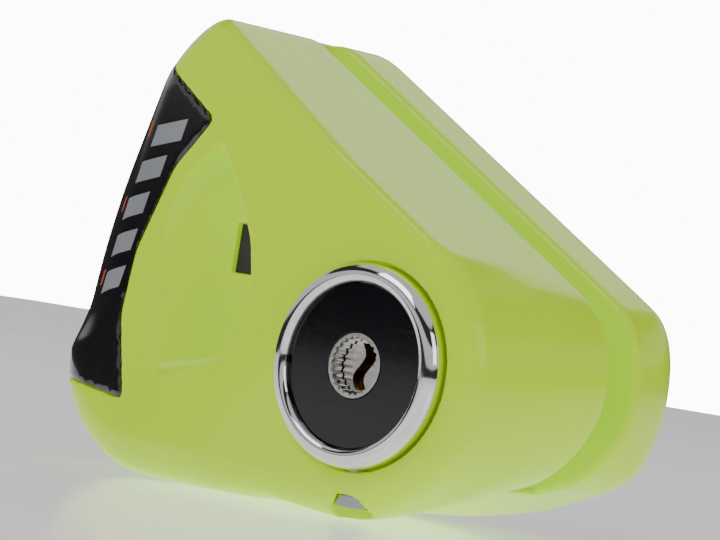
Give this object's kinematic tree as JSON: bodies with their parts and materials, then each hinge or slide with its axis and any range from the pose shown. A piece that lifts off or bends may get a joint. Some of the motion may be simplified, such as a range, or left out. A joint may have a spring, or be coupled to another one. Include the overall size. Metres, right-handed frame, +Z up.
{
  "type": "disc brake lock",
  "caption": "Push-down brake disc lock: cast two-jaw housing with a disc slot, sliding keyed plunger with a hardened pin, and an alarm compartment.",
  "frame": {"origin": "on the locking pin's axis, in the middle of the disc slot", "axes": "-Y is the key side and the pin's axis runs along Y; +X points to the nose; +Z is up from the flat underside"},
  "size_m": [0.0854, 0.0548, 0.0668],
  "materials": {
    "body_paint": "gloss",
    "black_gloss": "gloss",
    "rubber": "matt",
    "dark_plastic": "satin",
    "hard_steel": "ground",
    "chrome": "polished",
    "dark_plate": "dark mirror",
    "spring_steel": "drawn",
    "brass": "turned",
    "board_green": "solder mask",
    "cell_wrap": "wrap",
    "nickel": "nickel plated"
  },
  "bodies": {
    "housing": {"body_casting": "body_paint", "side_cover": "black_gloss", "cover_gasket": "rubber", "port_insert": "dark_plastic", "near_bush": "hard_steel", "far_bush": "hard_steel", "wiper_ring": "rubber", "guide_screw": "hard_steel", "plunger_spring": "spring_steel", "alarm_case": "dark_plastic", "case_lid": "dark_plastic", "circuit_board": "board_green", "piezo_sounder": "brass", "shock_sensor": "nickel", "battery": "cell_wrap", "contact_plate": "nickel", "contact_spring": "nickel", "switch_body": "dark_plastic"},
    "plunger": {"plunger_barrel": "hard_steel", "bezel_ring": "chrome", "face_plate": "dark_plate", "keyhole_sleeve": "chrome", "locking_pin": "hard_steel"},
    "plug": {"plug_cage": "brass", "front_disc": "nickel", "detainer_discs": "brass", "disc_spacers": "nickel", "sidebar": "hard_steel", "drive_cam": "hard_steel"},
    "dog_right": {"latch_dog_right": "hard_steel"},
    "dog_left": {"latch_dog_left": "hard_steel"},
    "button": {"switch_button": "dark_plastic"}
  },
  "joints": [
    {"name": "plunger_slide", "type": "slide", "parent": "housing", "child": "plunger", "axis": [0, -1, 0], "range_m": [0, 0.0135], "deforming": ["plunger_spring"]},
    {"name": "key_turn", "type": "hinge", "parent": "plunger", "child": "plug", "pos_m": [0, -0.025, 0], "axis": [0, 1, 0], "range_deg": [-90, 0]},
    {"name": "dog_right_slide", "type": "slide", "parent": "plunger", "child": "dog_right", "axis": [1, 0, 0], "range_m": [0, 0.0021]},
    {"name": "dog_left_slide", "type": "slide", "parent": "plunger", "child": "dog_left", "axis": [-1, 0, 0], "range_m": [0, 0.0021]},
    {"name": "button_slide", "type": "slide", "parent": "housing", "child": "button", "axis": [1, 0, 0], "range_m": [0, 0.0011]}
  ],
  "couplings": [
    {"joint": "dog_right_slide", "follows": "key_turn", "m_per_rad": -0.0012732},
    {"joint": "dog_left_slide", "follows": "key_turn", "m_per_rad": -0.0012732},
    {"joint": "button_slide", "follows": "plunger_slide", "ratio": 0.074074}
  ]
}
